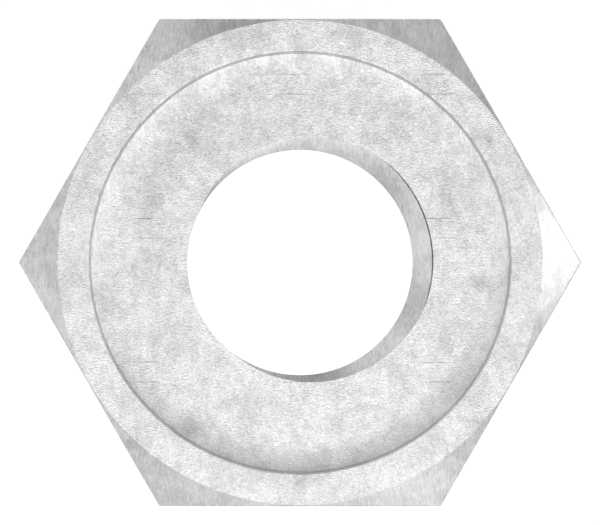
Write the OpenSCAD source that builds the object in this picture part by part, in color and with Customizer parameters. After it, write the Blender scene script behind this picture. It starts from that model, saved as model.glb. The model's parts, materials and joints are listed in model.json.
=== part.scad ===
// Shear nut: a one-piece security nut with a tapered body and a hexagonal drive
// that twists off at a thin neck once the joint is tight.
// Sizes are in millimetres. The bearing face lies on z = 0 and the thread axis is +Z.

/* [Thread] */
// Nominal thread diameter
thread_d = 12; // [10:0.25:13]
// Thread pitch
thread_pitch = 1.75; // [1:0.25:2.5]
// How much wider than the thread the countersink opens at the bearing face
countersink_over = 0.8; // [0.4:0.1:1.6]
// Included angle of the countersink
countersink_angle = 120; // [90:5:130]

/* [Tapered body] */
// Diameter of the bearing end
base_d = 21.6; // [19:0.1:24]
// Height of the straight land above the bearing face
land_h = 1.5; // [0.8:0.1:3]
// Height of the taper above the land
taper_h = 9.5; // [6:0.5:14]
// Size of the break on the edge of the bearing face
base_edge = 0.3; // [0.1:0.05:0.5]

/* [Shear neck] */
// Wall left between the thread and the bottom of the neck groove
neck_wall = 1.1; // [0.6:0.1:1.6]
// Depth of the neck groove below the top of the taper
groove_depth = 0.9; // [0.7:0.1:1.5]
// Width of the neck groove
groove_w = 1.5; // [1.2:0.1:2.5]
// Radius in the two corners of the neck groove
groove_r = 0.55; // [0.2:0.05:0.6]

/* [Drive hexagon] */
// Width across the flats
hex_af = 22; // [20:0.5:27]
// Height of the hexagon
hex_h = 7.5; // [5:0.5:12]
// Slope of the corner chamfers, from the end faces
chamfer_angle = 30; // [15:5:35]
// Gap between the chamfer's circle and the flats
chamfer_inset = 0.05; // [0.02:0.01:0.4]

/* [Recess in the drive] */
// Width of the flat rim, at the middle of a flat
rim_w = 1.4; // [1:0.1:2]
// Depth of the recess below the rim
recess_depth = 1.4; // [1:0.1:3]
// Width of the curve by which the floor rises towards the wall
dish_w = 1.15; // [0.6:0.05:2]
// How far the floor rises over that curve
dish_rise = 0.22; // [0.1:0.02:0.4]
// How far the wall leans outwards from its foot to its top
wall_draft = 0.125; // [0.05:0.025:0.3]
// Size of the break on the inner edge of the rim
rim_edge = 0.06; // [0.02:0.01:0.15]

/* [Hidden] */
$fn = 128;

HEX_SIDES = 6;
// Depth of an internal thread of basic metric profile, as a share of the pitch
THREAD_DEPTH = 5 / 8 * sqrt(3) / 2;
bore_r = thread_d / 2 - THREAD_DEPTH * thread_pitch;
countersink_r = (thread_d + countersink_over) / 2;
countersink_h = (countersink_r - bore_r) / tan(countersink_angle / 2);

neck_rad = thread_d / 2 + neck_wall;
taper_top_rad = neck_rad + groove_depth;
body_h = land_h + taper_h;
hex_z = body_h + groove_w;
nut_h = hex_z + hex_h;

hex_corner_rad = hex_af / 2 / cos(180 / HEX_SIDES);
chamfer_rad = hex_af / 2 - chamfer_inset;
chamfer_h = (hex_corner_rad - chamfer_rad) * tan(chamfer_angle);
mouth_rad = hex_af / 2 - rim_w;
wall_top_rad = mouth_rad - rim_edge;
wall_foot_rad = wall_top_rad - wall_draft;
recess_z = nut_h - recess_depth;

// How far a cutting shape runs past the face that it opens
past = 1;

// The web that rounds off an inside corner: its legs lie along +x and +y from the corner
module cove(radius) {
    difference() {
        square(radius);
        translate([radius, radius]) circle(radius);
    }
}

// Turned cone that stays on the bolt: a straight land with a broken edge, then the taper
module tapered_body() {
    base_rad = base_d / 2;
    rotate_extrude()
        polygon([
            [0, 0],
            [base_rad - base_edge, 0],
            [base_rad, base_edge],
            [base_rad, land_h],
            [taper_top_rad, body_h],
            [0, body_h]
        ]);
}

// Thin neck that twists off, with rounded corners where it meets the body and the drive
module shear_neck() {
    rotate_extrude() {
        square([neck_rad, groove_w]);
        translate([neck_rad, 0]) cove(groove_r);
        translate([neck_rad, groove_w]) mirror([0, 1]) cove(groove_r);
    }
}

// Hexagon with its corners on the x axis, turned to a cone at both ends
module drive_hexagon() {
    intersection() {
        cylinder(h = hex_h, r = hex_corner_rad, $fn = HEX_SIDES);
        rotate_extrude()
            polygon([
                [0, 0],
                [chamfer_rad, 0],
                [hex_corner_rad, chamfer_h],
                [hex_corner_rad, hex_h - chamfer_h],
                [chamfer_rad, hex_h],
                [0, hex_h]
            ]);
    }
}

// Web under a floor that curves up from level to a rise, over a width along +x
module dish_web(width, rise) {
    arc_r = (width * width + rise * rise) / (2 * rise);
    difference() {
        square([width, rise]);
        translate([0, arc_r]) circle(arc_r);
    }
}

// Round recess in the end of the drive: a dished floor, a steep wall and a broken rim edge
module drive_recess() {
    rotate_extrude()
        difference() {
            polygon([
                [0, 0],
                [wall_foot_rad, 0],
                [wall_foot_rad, dish_rise],
                [wall_top_rad, recess_depth - rim_edge],
                [mouth_rad + past, recess_depth + past],
                [0, recess_depth + past]
            ]);
            translate([wall_foot_rad - dish_w, 0]) dish_web(dish_w, dish_rise);
        }
}

// Bore at the crests of the internal thread, open through the bearing face and the recess
module thread_bore() {
    translate([0, 0, -past]) cylinder(h = nut_h + 2 * past, r = bore_r);
}

// Lead-in for the bolt at the bearing face
module bearing_countersink() {
    slope = tan(countersink_angle / 2);
    rotate_extrude()
        polygon([
            [0, -past],
            [countersink_r + past * slope, -past],
            [bore_r, countersink_h],
            [0, countersink_h]
        ]);
}

module shear_nut() {
    color("gainsboro")
        difference() {
            union() {
                tapered_body();
                translate([0, 0, body_h]) shear_neck();
                translate([0, 0, hex_z]) drive_hexagon();
            }
            thread_bore();
            bearing_countersink();
            translate([0, 0, recess_z]) drive_recess();
        }
}

shear_nut();
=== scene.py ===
"""Looks of a zinc-coated shear nut that stands on a white studio floor, seen along its thread axis."""

import json
import math

import bmesh
import bpy
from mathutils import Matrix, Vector


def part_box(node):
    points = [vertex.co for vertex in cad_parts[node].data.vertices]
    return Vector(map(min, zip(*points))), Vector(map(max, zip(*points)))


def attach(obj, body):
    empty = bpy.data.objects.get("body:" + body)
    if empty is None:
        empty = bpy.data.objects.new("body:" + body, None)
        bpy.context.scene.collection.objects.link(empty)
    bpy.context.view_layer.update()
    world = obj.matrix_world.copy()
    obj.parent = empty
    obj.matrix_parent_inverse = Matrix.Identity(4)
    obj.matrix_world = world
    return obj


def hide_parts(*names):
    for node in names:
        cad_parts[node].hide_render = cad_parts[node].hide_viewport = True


MM = 0.001

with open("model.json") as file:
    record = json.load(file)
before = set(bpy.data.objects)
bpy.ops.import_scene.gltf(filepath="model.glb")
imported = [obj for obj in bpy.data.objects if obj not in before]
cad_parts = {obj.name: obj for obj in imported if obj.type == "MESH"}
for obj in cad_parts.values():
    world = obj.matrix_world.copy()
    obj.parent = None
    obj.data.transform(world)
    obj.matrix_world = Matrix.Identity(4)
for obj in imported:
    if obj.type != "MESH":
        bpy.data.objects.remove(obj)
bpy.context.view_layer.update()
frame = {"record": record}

# Sizes taken from the frame
NODE = "shear_nut"
nut_low, nut_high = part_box(NODE)
nut_top = nut_high.z
hex_corner_rad = nut_high.x
hex_flat_rad = nut_high.y
thread_mount = next(m for m in frame["record"]["mounts"] if m["name"] == "thread")
bore_rad = thread_mount["dims"]["r_mm"] * MM

# Tapered body and shear neck
BASE_RAD = 10.8 * MM
LAND_H = 1.5 * MM
TAPER_H = 9.5 * MM
BASE_EDGE = 0.3 * MM
NECK_RAD = 7.1 * MM
GROOVE_DEPTH = 0.9 * MM
GROOVE_W = 1.5 * MM
GROOVE_R = 0.55 * MM

# Drive hexagon and the dish in its end
CHAMFER_ANGLE = math.radians(30)
CHAMFER_INSET = 0.05 * MM
DISH_DEPTH = 1.4 * MM
DISH_CURVE_W = 1.15 * MM
DISH_CURVE_RISE = 0.22 * MM
WALL_FOOT_RAD = 9.43 * MM
WALL_DRAFT = 0.075 * MM
RIM_EDGE = 0.09 * MM

# Thread
ROOT_RAD = 6.03 * MM
ROOT_W = 0.28 * MM
THREAD_PITCH = 1.75 * MM
FLANK_ANGLE = math.radians(30)
# Wear of the crests at the dish, and how much more of it there is at the bearing face
CREST_WEAR = 0.035 * MM
ENTRY_WEAR = 0.095 * MM
COUNTERSINK_RAD = 6.4 * MM
COUNTERSINK_ANGLE = math.radians(120)
ROOT_ANGLE_AT_DISH = math.radians(16)
ROOT_EDGE = 0.08 * MM
CREST_EDGE = 0.025 * MM
TAP_CLEARANCE = 0.005 * MM

# Fine edges and smoothness of the mesh
TURN_STEPS = 192
ARC_STEPS = 10
RIM_STEPS = 5
ROOT_STEPS = 4
EDGE_STEPS = 3
HEX_EDGE = 0.045 * MM
TURNED_EDGE = 0.08 * MM
SHARP_ANGLE = math.radians(25)
PAST = 1 * MM
TOUCH = 0.0005 * MM

# Finish of the zinc, with painted shade in the tones of the hexagon edges, thread root and dish wall,
# and painted light in those of the thread flanks and bore
ZINC_TONE = 0.73
# painted shade: darker tone of the hexagon's narrow edge faces, which draws their edge-on shading as a
# dark outline
EDGE_SHADE_TONE = 0.58
# painted shade: the thread root is much darker, for the shadow under the dish floor's lip
ROOT_SHADE_TONE = 0.35
# painted light: the thread deep in the bore is much lighter than the zinc, against the shade that fills
# it
BORE_LIGHT_TONE = 0.92
# painted light: the thread flanks near the dish are lighter than the rest of the zinc
THREAD_LIGHT_TONE = 0.79
# painted shade: the steep dish wall is darker, for the dark line at the dish's rim
WALL_SHADE_TONE = 0.63
ZINC_METALLIC = 0.85
ZINC_ROUGHNESS = 0.37
SIDE_ROUGHNESS = 0.34
EDGE_ROUGHNESS = 0.22
CLOUD_TONE = 0.135
CLOUD_SHINE = 0.06
GRAIN_TONE = 1.04
END_RELIEF = 0.038 * MM
# painted light: change of the end's tone per metre along x and y, lighter towards -y and a little
# towards +x
END_LIGHT_SLOPE = (0.012 / (10 * MM), -0.05 / (10 * MM))
SIDE_RELIEF = 0.011 * MM
MARK_SHARE = 0.5

# Marks in the zinc: size along x, y and z
CLOUD_SIZE = (1.5 * MM, 1.9 * MM, 1.9 * MM)
PATCH_SIZE = (0.45 * MM, 0.6 * MM, 0.6 * MM)
CLOUD_FADE = (0.36, 0.62)
SPECK_SIZE = (0.135 * MM, 0.135 * MM, 0.135 * MM)
PEBBLE_SIZE = (0.072 * MM, 0.062 * MM, 0.062 * MM)
DRAWN_SIZE = (0.065 * MM, 0.35 * MM, 0.35 * MM)
TURNING_SIZE = (14 * MM, 14 * MM, 0.1 * MM)
MARK_FADE = (0.99, 0.935)

# How level a face lies, as the height of its normal, where one finish gives way to the next
END_LEVEL = 0.9
WALL_LEVEL = 0.3
CHAMFER_LEVEL = 0.82
FLAT_LEVEL = 0.1
RIM_LEVEL = 0.98
# radius past which thread faces take the painted shade of the root
ROOT_SHADE_RAD = ROOT_RAD - 0.9 * ROOT_EDGE

# Scratches on the hexagon's end, on squares that repeat: middle as x and y, and length
SCRATCHES = [(-7.05 * MM, 2.03 * MM, 1.7 * MM), (-6.85 * MM, 1.14 * MM, 1.8 * MM)]
SQUARE_LOW = Vector((-8.56, -2.4, -100)) * MM
SQUARE_SIZE = Vector((6.6, 6.5, 200)) * MM
SCRATCH_W = 0.03 * MM
SCRATCH_CORE = 0.2 * SCRATCH_W
SCRATCH_TONE = 0.16
SCRATCH_DEPTH = 0.25
SCRATCH_FADE = (0.1, 0.45)
SCRATCH_SPREAD = (3 * MM, 3 * MM, 3 * MM)
WAVER = 0.05 * MM
WAVER_SIZE = (0.5 * MM, 0.5 * MM, 0.5 * MM)

# Upright smears on the same squares: middle as x and y, half width and half height
SMEARS = [
    (-6.6 * MM, 3.05 * MM, 0.5 * MM, 1.0 * MM),
    (-5.0 * MM, -0.9 * MM, 0.7 * MM, 0.7 * MM),
]
SMEAR_TONE = 0.15

# Studio
FLOOR_TONE = 0.3
FLOOR_GLOW = 0.82
FLOOR_GAP = 0.01 * MM
FLOOR_RAD = 1.5
# painted light: extra glow of the floor under the bore, where the nut's shadow falls
BORE_PAINTED_LIGHT = 0.18
DOME_LEVEL = 0.655
DOME_TOP = 0.16
DOME_SLOPE = 0.07
DOME_RIGHT = 0.168
DOME_LOW = 0.03
HORIZON_FADE = 0.1

# Cards round the nut: turn from +X and half width in degrees, lower and upper height, light added
CARDS = [
    (36, 20, 0.0, 0.8, -0.24),
    (101, 20, 0.0, 0.85, -0.56),
    (125, 26, 0.7, 0.88, -0.32),
    (137, 26, 0.0, 0.6, 0.2),
    (164, 20, 0.0, 0.8, -0.18),
    (193, 18, 0.0, 0.6, 0.22),
    (226, 26, 0.0, 0.5, -0.33),
    (325, 22, 0.0, 0.6, -0.28),
]
CARD_FADE = 0.1

# Lamps that face the dish: turn from +X and lift in degrees, distance, width and height in metres, watts
LAMPS = {
    "front": (-80, 50, 0.4, 0.25, 0.16, 0.15),
    "front_right": (-40, 48, 0.4, 0.25, 0.16, 0.115),
    "front_left": (-135, 53, 0.4, 0.25, 0.16, 0.1),
    "right_high": (3, 47, 0.4, 0.2, 0.16, 0.08),
    "low_front": (-64, 28, 0.5, 0.2, 0.15, 0.037),
    "overhead": (-90, 76, 0.09, 0.05, 0.05, 0.007),
    "right": (3, 30, 0.5, 0.1, 0.1, 0.165),
}

# Camera: width of the view at the nut's top, and lens and sensor in millimetres
VIEW_W = 27.07 * MM
LENS = 1400
SENSOR = 36

body_top = LAND_H + TAPER_H
hex_bottom = body_top + GROOVE_W
dish_floor = nut_top - DISH_DEPTH
crest_rad = bore_rad + CREST_WEAR
rim_rad = 0.99 * hex_flat_rad


def enter_edit(piece):
    """Opens one piece for editing, with nothing of it selected."""
    bpy.ops.object.select_all(action="DESELECT")
    bpy.context.view_layer.objects.active = piece
    piece.select_set(True)
    bpy.ops.object.mode_set(mode="EDIT")
    bpy.ops.mesh.select_mode(type="VERT")
    bpy.ops.mesh.select_all(action="DESELECT")


def leave_edit():
    bpy.ops.object.mode_set(mode="OBJECT")


def select_corner(piece, radius, height):
    """Selects the one corner of a section that lies at a radius and a height."""
    mesh = bmesh.from_edit_mesh(piece.data)
    spot = Vector((radius, 0, height))
    nearest = min(mesh.verts, key=lambda vert: (vert.co - spot).length)
    for vert in mesh.verts:
        vert.select_set(vert is nearest)
    mesh.select_flush_mode()
    bmesh.update_edit_mesh(piece.data)


def draw_section(name, corners):
    """Draws a flat section through the axis, from its corners as (radius, height)."""
    bpy.ops.object.select_all(action="DESELECT")
    bpy.ops.mesh.primitive_plane_add(size=MM)
    piece = bpy.context.object
    piece.name = name
    enter_edit(piece)
    bpy.ops.mesh.select_all(action="SELECT")
    bpy.ops.mesh.merge(type="CENTER")
    bpy.ops.transform.translate(value=(corners[0][0], 0, corners[0][1]))
    for here, there in zip(corners, corners[1:]):
        step = (there[0] - here[0], 0, there[1] - here[1])
        bpy.ops.mesh.extrude_region_move(TRANSFORM_OT_translate={"value": step})
    bpy.ops.mesh.select_all(action="SELECT")
    bpy.ops.mesh.edge_face_add()
    leave_edit()
    return piece


def round_corner(piece, corner, length, steps):
    """Rounds a corner of a section with an arc that starts a length away along both edges."""
    enter_edit(piece)
    select_corner(piece, *corner)
    bpy.ops.mesh.bevel(affect="VERTICES", offset=length, segments=steps, clamp_overlap=False)
    leave_edit()


def open_section(piece):
    """Leaves only the outline of a section."""
    enter_edit(piece)
    bpy.ops.mesh.select_all(action="SELECT")
    bpy.ops.mesh.delete(type="ONLY_FACE")
    leave_edit()


def apply_modifier(piece, modifier):
    bpy.ops.object.select_all(action="DESELECT")
    bpy.context.view_layer.objects.active = piece
    piece.select_set(True)
    bpy.ops.object.modifier_apply(modifier=modifier.name)


def cut(piece, tool, operation):
    """Cuts a piece with a tool that is then thrown away."""
    modifier = piece.modifiers.new("cut", "BOOLEAN")
    modifier.operation = operation
    modifier.solver = "EXACT"
    modifier.object = tool
    apply_modifier(piece, modifier)
    bpy.data.objects.remove(tool)


def turn_half_step(piece):
    """Turns a piece by half a step about the thread axis, so that no step meets a hexagon corner."""
    enter_edit(piece)
    bpy.ops.mesh.select_all(action="SELECT")
    bpy.ops.transform.rotate(value=math.pi / TURN_STEPS, orient_axis="Z", center_override=(0, 0, 0))
    leave_edit()


def turned_blank():
    """The nut as it leaves the lathe: its half section, spun about the thread axis."""
    entry_rad = crest_rad + ENTRY_WEAR
    countersink_top = (COUNTERSINK_RAD - entry_rad) / math.tan(COUNTERSINK_ANGLE / 2)
    curve_r = (DISH_CURVE_W**2 + DISH_CURVE_RISE**2) / (2 * DISH_CURVE_RISE)
    curve_turn = math.asin(DISH_CURVE_W / curve_r)
    curve_leg = curve_r * math.tan(curve_turn / 2)
    chamfer_rad = hex_flat_rad - CHAMFER_INSET
    bar_rad = hex_corner_rad + PAST
    chamfer_drop = (bar_rad - chamfer_rad) * math.tan(CHAMFER_ANGLE)
    taper_top_rad = NECK_RAD + GROOVE_DEPTH

    dish_corner = (WALL_FOOT_RAD - DISH_CURVE_W + curve_leg, dish_floor)
    rim_corner = (WALL_FOOT_RAD + WALL_DRAFT, nut_top)
    groove_top = (NECK_RAD, hex_bottom)
    groove_bottom = (NECK_RAD, body_top)
    taper_top = (taper_top_rad, body_top)
    taper_foot = (BASE_RAD, LAND_H)
    mouth = (COUNTERSINK_RAD, 0)
    corners = [
        (entry_rad, countersink_top),
        (crest_rad, dish_floor),
        dish_corner,
        (WALL_FOOT_RAD, dish_floor + DISH_CURVE_RISE),
        rim_corner,
        (chamfer_rad, nut_top),
        (bar_rad, nut_top - chamfer_drop),
        (bar_rad, hex_bottom + chamfer_drop),
        (chamfer_rad, hex_bottom),
        groove_top,
        groove_bottom,
        taper_top,
        taper_foot,
        (BASE_RAD, BASE_EDGE),
        (BASE_RAD - BASE_EDGE, 0),
        mouth,
    ]
    blank = draw_section(NODE + "_zinc", corners)
    round_corner(blank, dish_corner, curve_leg - TOUCH, ARC_STEPS)
    round_corner(blank, rim_corner, RIM_EDGE, RIM_STEPS)
    round_corner(blank, groove_top, GROOVE_R, ARC_STEPS)
    round_corner(blank, groove_bottom, GROOVE_R, ARC_STEPS)
    for corner in (taper_top, taper_foot, mouth):
        round_corner(blank, corner, TURNED_EDGE, EDGE_STEPS)
    open_section(blank)
    enter_edit(blank)
    bpy.ops.mesh.select_all(action="SELECT")
    bpy.ops.mesh.spin(steps=TURN_STEPS, angle=math.tau, axis=(0, 0, 1), use_auto_merge=True)
    bpy.ops.mesh.select_all(action="SELECT")
    bpy.ops.mesh.remove_doubles(threshold=TOUCH)
    bpy.ops.mesh.normals_make_consistent(inside=False)
    leave_edit()
    turn_half_step(blank)
    return blank


def hexagon_bar():
    """Six-sided bar with its corners on the x axis."""
    bpy.ops.object.select_all(action="DESELECT")
    bpy.ops.mesh.primitive_cylinder_add(
        vertices=6,
        radius=hex_corner_rad,
        depth=nut_top + 2 * PAST,
        location=(0, 0, nut_top / 2),
        rotation=(0, 0, math.pi / 6),
    )
    bar = bpy.context.object
    bpy.ops.object.transform_apply(location=True, rotation=True, scale=True)
    return bar


def thread_tap():
    """The helix that a tap cuts away, with its root at the right angle where it meets the dish."""
    root_half = ROOT_W / 2
    crest_half = root_half + (ROOT_RAD - crest_rad) * math.tan(FLANK_ANGLE)
    mouth_half = crest_half + 2 * CREST_EDGE
    mouth_rad = crest_rad - TAP_CLEARANCE
    inner_rad = crest_rad - PAST
    turns_below = math.ceil((dish_floor + 2 * THREAD_PITCH) / THREAD_PITCH)
    start = dish_floor - ROOT_ANGLE_AT_DISH / math.tau * THREAD_PITCH - turns_below * THREAD_PITCH
    root_foot = (ROOT_RAD, start - root_half)
    root_top = (ROOT_RAD, start + root_half)
    crest_foot = (crest_rad, start - crest_half)
    crest_top = (crest_rad, start + crest_half)
    corners = [
        (inner_rad, start - mouth_half),
        (mouth_rad, start - mouth_half),
        crest_foot,
        root_foot,
        root_top,
        crest_top,
        (mouth_rad, start + mouth_half),
        (inner_rad, start + mouth_half),
    ]
    tap = draw_section("thread_tap", corners)
    for corner in (root_foot, root_top):
        round_corner(tap, corner, ROOT_EDGE, ROOT_STEPS)
    for corner in (crest_foot, crest_top):
        round_corner(tap, corner, CREST_EDGE, EDGE_STEPS)
    open_section(tap)
    screw = tap.modifiers.new("helix", "SCREW")
    screw.axis = "Z"
    screw.angle = math.tau
    screw.screw_offset = THREAD_PITCH
    screw.iterations = turns_below + 1
    screw.steps = TURN_STEPS
    screw.render_steps = TURN_STEPS
    screw.use_merge_vertices = False
    apply_modifier(tap, screw)
    enter_edit(tap)
    bpy.ops.mesh.select_all(action="SELECT")
    bpy.ops.mesh.fill_holes(sides=0)
    bpy.ops.mesh.select_all(action="SELECT")
    bpy.ops.mesh.normals_make_consistent(inside=False)
    leave_edit()
    turn_half_step(tap)
    return tap


def ease_hexagon(nut):
    """Takes the sharpness off the hexagon's corners and off the curved edges of its flats."""
    enter_edit(nut)
    bpy.ops.mesh.select_mode(type="EDGE")
    mesh = bmesh.from_edit_mesh(nut.data)
    for edge in mesh.edges:
        middle = (edge.verts[0].co + edge.verts[1].co) / 2
        on_hexagon = middle.z > hex_bottom and math.hypot(middle.x, middle.y) > hex_flat_rad - TOUCH
        low, high = sorted(abs(face.normal.z) for face in edge.link_faces)
        curved = low < FLAT_LEVEL and WALL_LEVEL < high < RIM_LEVEL
        corner = high < FLAT_LEVEL and edge.calc_face_angle() > SHARP_ANGLE
        edge.select_set(on_hexagon and (curved or corner))
    bmesh.update_edit_mesh(nut.data)
    bpy.ops.mesh.bevel(offset=HEX_EDGE, segments=EDGE_STEPS, affect="EDGES", clamp_overlap=True)
    leave_edit()


def even_shading(nut):
    """Smooths the round faces, and keeps each finish and each flat face even up to its edges."""
    bpy.ops.object.shade_smooth_by_angle(angle=SHARP_ANGLE)
    enter_edit(nut)
    mesh = bmesh.from_edit_mesh(nut.data)
    for edge in mesh.edges:
        if len({face.material_index for face in edge.link_faces}) > 1:
            edge.smooth = False
    bmesh.update_edit_mesh(nut.data)
    leave_edit()
    weighting = nut.modifiers.new("even_shading", "WEIGHTED_NORMAL")
    weighting.keep_sharp = True
    apply_modifier(nut, weighting)


def make_nut():
    nut = turned_blank()
    cut(nut, hexagon_bar(), "INTERSECT")
    ease_hexagon(nut)
    cut(nut, thread_tap(), "DIFFERENCE")
    enter_edit(nut)
    bpy.ops.mesh.select_all(action="SELECT")
    bpy.ops.mesh.remove_doubles(threshold=TOUCH)
    leave_edit()
    return nut


def link_or_set(tree, source, socket):
    """Feeds a socket from another one, or sets it to a number."""
    if isinstance(source, bpy.types.NodeSocket):
        tree.links.new(source, socket)
    else:
        socket.default_value = source


def calculate(tree, operation, *values):
    node = tree.nodes.new("ShaderNodeMath")
    node.operation = operation
    for value, socket in zip(values, node.inputs):
        link_or_set(tree, value, socket)
    return node.outputs["Value"]


def weighted_sum(tree, start, *terms):
    """Adds up sources times their weights."""
    total = start
    for source, weight in terms:
        total = calculate(tree, "MULTIPLY_ADD", source, weight, total)
    return total


def fade(tree, source, begin, end, top=1.0):
    """Goes from 0 to the top value as the source goes from begin to end."""
    node = tree.nodes.new("ShaderNodeMapRange")
    node.interpolation_type = "SMOOTHSTEP"
    node.inputs["From Min"].default_value = begin
    node.inputs["From Max"].default_value = end
    node.inputs["To Max"].default_value = top
    tree.links.new(source, node.inputs["Value"])
    return node.outputs["Result"]


def split_vector(tree, vector):
    """Gives x, y and z of a vector."""
    node = tree.nodes.new("ShaderNodeSeparateXYZ")
    tree.links.new(vector, node.inputs[0])
    return node.outputs


def noise(tree, place, size, seed, detail, fineness=0.5):
    """Noise with spots about as long as size says along x, y and z, and finer ones in them."""
    spread = tree.nodes.new("ShaderNodeMapping")
    spread.inputs["Location"].default_value = (seed, seed, seed)
    spread.inputs["Scale"].default_value = [1 / length for length in size]
    tree.links.new(place, spread.inputs["Vector"])
    spots = tree.nodes.new("ShaderNodeTexNoise")
    spots.inputs["Scale"].default_value = 1
    spots.inputs["Detail"].default_value = detail
    spots.inputs["Roughness"].default_value = fineness
    tree.links.new(spread.outputs["Vector"], spots.inputs["Vector"])
    return spots.outputs["Fac"]


def start_group(name):
    """Opens a shader group and gives its Object coordinates."""
    group = bpy.data.node_groups.new(name, "ShaderNodeTree")
    place = group.nodes.new("ShaderNodeTexCoord").outputs["Object"]
    return group, place


def give_out(group, **values):
    """Makes the group's outputs."""
    for title in values:
        group.interface.new_socket(title, in_out="OUTPUT", socket_type="NodeSocketFloat")
    end = group.nodes.new("NodeGroupOutput")
    for title, source in values.items():
        group.links.new(source, end.inputs[title])


def zinc_bloom():
    """Soft clouds of a dipped zinc coat, with smaller and darker patches in them."""
    group, place = start_group("zinc_bloom")
    clouds = noise(group, place, CLOUD_SIZE, 3.7, 2)
    patches = noise(group, place, PATCH_SIZE, 8.1, 2)
    both = weighted_sum(group, 0.0, (clouds, 0.5), (patches, 0.5))
    give_out(group, Cloud=fade(group, both, *CLOUD_FADE))
    return group


def zinc_grain():
    """Specks of the coat in many sizes, and its fine pebbled relief."""
    group, place = start_group("zinc_grain")
    specks = noise(group, place, SPECK_SIZE, 9.5, 3, 1.0)
    pebbles = noise(group, place, PEBBLE_SIZE, 1.3, 2)
    give_out(group, Specks=specks, Pebbles=pebbles)
    return group


def drawn_marks():
    """Fine lines along y and z, as drawing leaves them."""
    group, place = start_group("drawn_marks")
    give_out(group, Mark=noise(group, place, DRAWN_SIZE, 5.9, 3))
    return group


def turning_marks():
    """Fine rings round the thread axis, as a lathe tool leaves them."""
    group, place = start_group("turning_marks")
    give_out(group, Mark=noise(group, place, TURNING_SIZE, 2.3, 2))
    return group


def distance_from(tree, source, middle):
    return calculate(tree, "ABSOLUTE", calculate(tree, "SUBTRACT", source, middle))


def largest(tree, sources):
    total = sources[0]
    for source in sources[1:]:
        total = calculate(tree, "MAXIMUM", total, source)
    return total


def squares_of_wear():
    """Short scratches along x and upright smears, the same in each square of the face."""
    group, place = start_group("squares_of_wear")
    fold = group.nodes.new("ShaderNodeVectorMath")
    fold.operation = "WRAP"
    group.links.new(place, fold.inputs[0])
    fold.inputs[2].default_value = SQUARE_LOW
    fold.inputs[1].default_value = SQUARE_LOW + SQUARE_SIZE
    x, y = split_vector(group, fold.outputs["Vector"])[:2]
    waver = noise(group, place, WAVER_SIZE, 6.4, 1)
    across = weighted_sum(group, y, (waver, WAVER))
    depth = fade(group, noise(group, place, SCRATCH_SPREAD, 4.4, 0), *SCRATCH_FADE)
    lines = []
    for middle_x, middle_y, length in SCRATCHES:
        line = fade(group, distance_from(group, across, middle_y), SCRATCH_W, SCRATCH_CORE)
        reach = fade(group, distance_from(group, x, middle_x), length / 2, length / 5)
        lines.append(calculate(group, "MULTIPLY", line, reach))
    smears = []
    for middle_x, middle_y, half_w, half_h in SMEARS:
        wide = fade(group, distance_from(group, x, middle_x), half_w, 0)
        high = fade(group, distance_from(group, y, middle_y), half_h, 0)
        smears.append(calculate(group, "MULTIPLY", wide, high))
    scratch = calculate(group, "MULTIPLY", largest(group, lines), depth)
    give_out(group, Scratch=scratch, Smear=largest(group, smears))
    return group


def place_group(tree, group):
    node = tree.nodes.new("ShaderNodeGroup")
    node.node_tree = group
    return node.outputs


def blend(tree, share, first, second):
    """Goes from the first source to the second by a share."""
    node = tree.nodes.new("ShaderNodeMix")
    link_or_set(tree, share, node.inputs["Factor"])
    tree.links.new(first, node.inputs["A"])
    tree.links.new(second, node.inputs["B"])
    return node.outputs["Result"]


def zinc_coat(name, marks, depth, tone=ZINC_TONE, even_roughness=SIDE_ROUGHNESS):
    """Zinc with clouds, grain, tool marks in part of the grain's place, and wear on the ends, plus
    painted light as a tone gradient across the ends.
    """
    material = bpy.data.materials.new(name)
    material.use_nodes = True
    tree = material.node_tree
    shader = tree.nodes["Principled BSDF"]
    shader.inputs["Metallic"].default_value = ZINC_METALLIC
    cloud = place_group(tree, GROUPS["bloom"])["Cloud"]
    grain = place_group(tree, GROUPS["grain"])
    mark = place_group(tree, marks)["Mark"]
    share = MARK_SHARE
    on_end = name == "zinc_end"
    if on_end:
        coordinates = tree.nodes.new("ShaderNodeTexCoord").outputs
        x, y = split_vector(tree, coordinates["Object"])[:2]
        share = fade(tree, split_vector(tree, coordinates["Normal"])[2], *MARK_FADE, MARK_SHARE)
    specks = blend(tree, share, grain["Specks"], mark)
    height = blend(tree, share, grain["Pebbles"], mark)
    start = tone - (CLOUD_TONE + GRAIN_TONE) / 2
    colour = weighted_sum(tree, start, (cloud, CLOUD_TONE), (specks, GRAIN_TONE))
    if on_end:
        wear = place_group(tree, GROUPS["wear"])
        scratch = wear["Scratch"]
        colour = weighted_sum(tree, colour, (scratch, -SCRATCH_TONE), (wear["Smear"], -SMEAR_TONE))
        # painted light: the end's tone rises towards -y and a little towards +x
        colour = weighted_sum(tree, colour, (x, END_LIGHT_SLOPE[0]), (y, END_LIGHT_SLOPE[1]))
        height = weighted_sum(tree, height, (scratch, -SCRATCH_DEPTH))
        roughness = weighted_sum(tree, ZINC_ROUGHNESS, (cloud, -CLOUD_SHINE))
        tree.links.new(roughness, shader.inputs["Roughness"])
    else:
        shader.inputs["Roughness"].default_value = even_roughness
    tree.links.new(colour, shader.inputs["Base Color"])
    bump = tree.nodes.new("ShaderNodeBump")
    bump.inputs["Distance"].default_value = depth
    bump.inputs["Strength"].default_value = 1
    tree.links.new(height, bump.inputs["Height"])
    tree.links.new(bump.outputs["Normal"], shader.inputs["Normal"])
    return material


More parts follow.
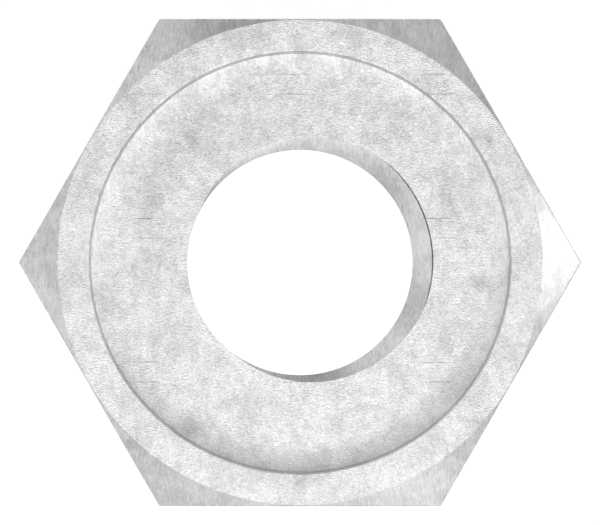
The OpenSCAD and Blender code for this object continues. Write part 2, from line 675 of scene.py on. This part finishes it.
def finish_of(face):
    """Names the finish of one face of the nut, from its place and its tilt; the edge, root and wall
    finishes carry painted shade, the thread and bore finishes painted light.
    """
    radius = math.hypot(face.center.x, face.center.y)
    height = face.center.z
    level = abs(face.normal.z)
    if radius < COUNTERSINK_RAD and height < dish_floor - TOUCH and level < END_LEVEL:
        # painted light: thread faces deeper than a pitch take the much lighter bore tone
        if height < dish_floor - THREAD_PITCH:
            return "bore"
        # painted shade: faces at the thread root take the dark root tone; the flanks above them take the
        # lighter thread tone, which is painted light
        return "root" if radius > ROOT_SHADE_RAD else "thread"
    if height < hex_bottom + TOUCH:
        return "end" if height < TOUCH else "turned"
    if radius > rim_rad:
        on_corner = radius > hex_corner_rad - 2 * HEX_EDGE
        # painted shade: the hexagon's narrow edge faces take the darker edge tone, as a dark outline
        return "edge" if level < CHAMFER_LEVEL and (level > FLAT_LEVEL or on_corner) else "drawn"
    # painted shade: the steep wall of the dish takes the dark wall tone
    return "end" if level > WALL_LEVEL else "wall"


def dress_nut(nut):
    """Gives each face of the nut the material of its finish, some of which hold painted shade or painted
    light in their tone.
    """
    finishes = {
        "end": zinc_coat("zinc_end", GROUPS["drawn"], END_RELIEF),
        "drawn": zinc_coat("zinc_drawn", GROUPS["drawn"], SIDE_RELIEF),
        "turned": zinc_coat("zinc_turned", GROUPS["turning"], SIDE_RELIEF),
        # thread and bore hold painted light in their tone; root, wall and edge hold painted shade
        "thread": zinc_coat("zinc_thread_light", GROUPS["drawn"], SIDE_RELIEF, THREAD_LIGHT_TONE),
        "root": zinc_coat("zinc_root_shade", GROUPS["drawn"], SIDE_RELIEF, ROOT_SHADE_TONE),
        "bore": zinc_coat("zinc_bore_light", GROUPS["drawn"], SIDE_RELIEF, BORE_LIGHT_TONE),
        "wall": zinc_coat("zinc_wall_shade", GROUPS["drawn"], SIDE_RELIEF, WALL_SHADE_TONE),
        "edge": zinc_coat("zinc_edge_shade", GROUPS["drawn"], SIDE_RELIEF, EDGE_SHADE_TONE, EDGE_ROUGHNESS),
    }
    nut.data.materials.clear()
    for material in finishes.values():
        nut.data.materials.append(material)
    order = list(finishes)
    for face in nut.data.polygons:
        face.material_index = order.index(finish_of(face))


def way_to(turn, lift):
    """Direction at a turn from +X towards +Y and a lift from the floor."""
    return Vector((math.cos(lift) * math.cos(turn), math.cos(lift) * math.sin(turn), math.sin(lift)))


def softbox(name, turn, lift, distance, width, height, power):
    """Lamp that faces the dish from a turn and a lift in degrees."""
    way = way_to(math.radians(turn), math.radians(lift))
    lamp = bpy.data.lights.new(name, "AREA")
    lamp.shape = "RECTANGLE"
    lamp.size = width
    lamp.size_y = height
    lamp.energy = power
    holder = bpy.data.objects.new(name, lamp)
    holder.location = way * distance + Vector((0, 0, dish_floor))
    holder.rotation_mode = "QUATERNION"
    holder.rotation_quaternion = way.to_track_quat("Z", "Y")
    holder.visible_camera = False
    bpy.context.scene.collection.objects.link(holder)


def white_floor():
    """Pale card that shows white to the camera and in the metal, and keeps the nut's shadow; under the
    bore it glows brighter, painted light over that shadow.
    """
    bpy.ops.object.select_all(action="DESELECT")
    bpy.ops.mesh.primitive_circle_add(
        vertices=64,
        radius=FLOOR_RAD,
        fill_type="NGON",
        location=(0, 0, -FLOOR_GAP),
    )
    floor = bpy.context.object
    floor.name = "white_floor"
    material = bpy.data.materials.new("white_floor")
    material.use_nodes = True
    tree = material.node_tree
    tree.nodes.clear()
    card = tree.nodes.new("ShaderNodeBsdfDiffuse")
    card.inputs["Color"].default_value = (FLOOR_TONE, FLOOR_TONE, FLOOR_TONE, 1)
    path = tree.nodes.new("ShaderNodeLightPath")
    seen = calculate(tree, "MAXIMUM", path.outputs["Is Camera Ray"], path.outputs["Is Glossy Ray"])
    seen = calculate(tree, "MAXIMUM", seen, path.outputs["Is Transmission Ray"])
    away = tree.nodes.new("ShaderNodeVectorMath")
    away.operation = "LENGTH"
    tree.links.new(tree.nodes.new("ShaderNodeTexCoord").outputs["Object"], away.inputs[0])
    # painted light: the floor under the bore glows brighter, over the nut's shadow
    painted_light_under_bore = fade(tree, away.outputs["Value"], BASE_RAD, crest_rad)
    level = weighted_sum(tree, FLOOR_GLOW, (painted_light_under_bore, BORE_PAINTED_LIGHT))
    glow = tree.nodes.new("ShaderNodeEmission")
    tree.links.new(calculate(tree, "MULTIPLY", seen, level), glow.inputs["Strength"])
    both = tree.nodes.new("ShaderNodeAddShader")
    tree.links.new(card.outputs[0], both.inputs[0])
    tree.links.new(glow.outputs[0], both.inputs[1])
    out = tree.nodes.new("ShaderNodeOutputMaterial")
    tree.links.new(both.outputs[0], out.inputs["Surface"])
    floor.data.materials.append(material)


def studio_card(tree, way, turn, half, low, high):
    """Share of a soft-edged card that stands at a turn round the nut, between two heights."""
    x, y, z = way
    off = calculate(tree, "SUBTRACT", calculate(tree, "ARCTAN2", y, x), math.radians(turn))
    off = calculate(tree, "ABSOLUTE", calculate(tree, "WRAP", off, math.pi, -math.pi))
    strip = fade(tree, off, math.radians(half), 0.0)
    strip = calculate(tree, "MULTIPLY", strip, fade(tree, z, low - CARD_FADE, low + CARD_FADE))
    return calculate(tree, "MULTIPLY", strip, fade(tree, z, high + CARD_FADE, high - CARD_FADE))


def studio_world():
    """White below the horizon; above it a soft dome, darker to the right, with cards round it."""
    world = bpy.data.worlds.new("studio")
    bpy.context.scene.world = world
    world.use_nodes = True
    tree = world.node_tree
    way = tree.nodes.new("ShaderNodeTexCoord").outputs["Generated"]
    way = split_vector(tree, way)
    x, y, z = way
    overhead = calculate(tree, "POWER", calculate(tree, "MAXIMUM", z, 0.0), 4)
    right = calculate(tree, "MAXIMUM", x, 0.0)
    cards = [(studio_card(tree, way, *place), light) for *place, light in CARDS]
    dome = weighted_sum(
        tree,
        DOME_LEVEL,
        (overhead, DOME_TOP),
        (x, -DOME_SLOPE),
        (right, -DOME_RIGHT),
        *cards,
    )
    dome = calculate(tree, "MAXIMUM", dome, DOME_LOW)
    above = fade(tree, z, 0.0, HORIZON_FADE)
    strength = weighted_sum(tree, 1.0, (calculate(tree, "SUBTRACT", dome, 1.0), above))
    tree.links.new(strength, tree.nodes["Background"].inputs["Strength"])
    tree.nodes["Background"].inputs["Color"].default_value = (1, 1, 1, 1)


def overhead_camera():
    """Looks straight down the thread axis from so far off that perspective hardly shows."""
    camera = bpy.data.cameras.new("camera")
    camera.lens = LENS
    camera.sensor_width = SENSOR
    distance = LENS / SENSOR * VIEW_W
    camera.clip_end = 2 * distance
    holder = bpy.data.objects.new("camera", camera)
    holder.location = (0, 0, nut_top + distance)
    bpy.context.scene.collection.objects.link(holder)
    bpy.context.scene.camera = holder


GROUPS = {
    "bloom": zinc_bloom(),
    "grain": zinc_grain(),
    "drawn": drawn_marks(),
    "turning": turning_marks(),
    "wear": squares_of_wear(),
}
nut = make_nut()
dress_nut(nut)
even_shading(nut)
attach(nut, "root")
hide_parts(NODE)

white_floor()
studio_world()
for name, setting in LAMPS.items():
    softbox(name, *setting)
overhead_camera()
bpy.context.scene.view_settings.view_transform = "Standard"
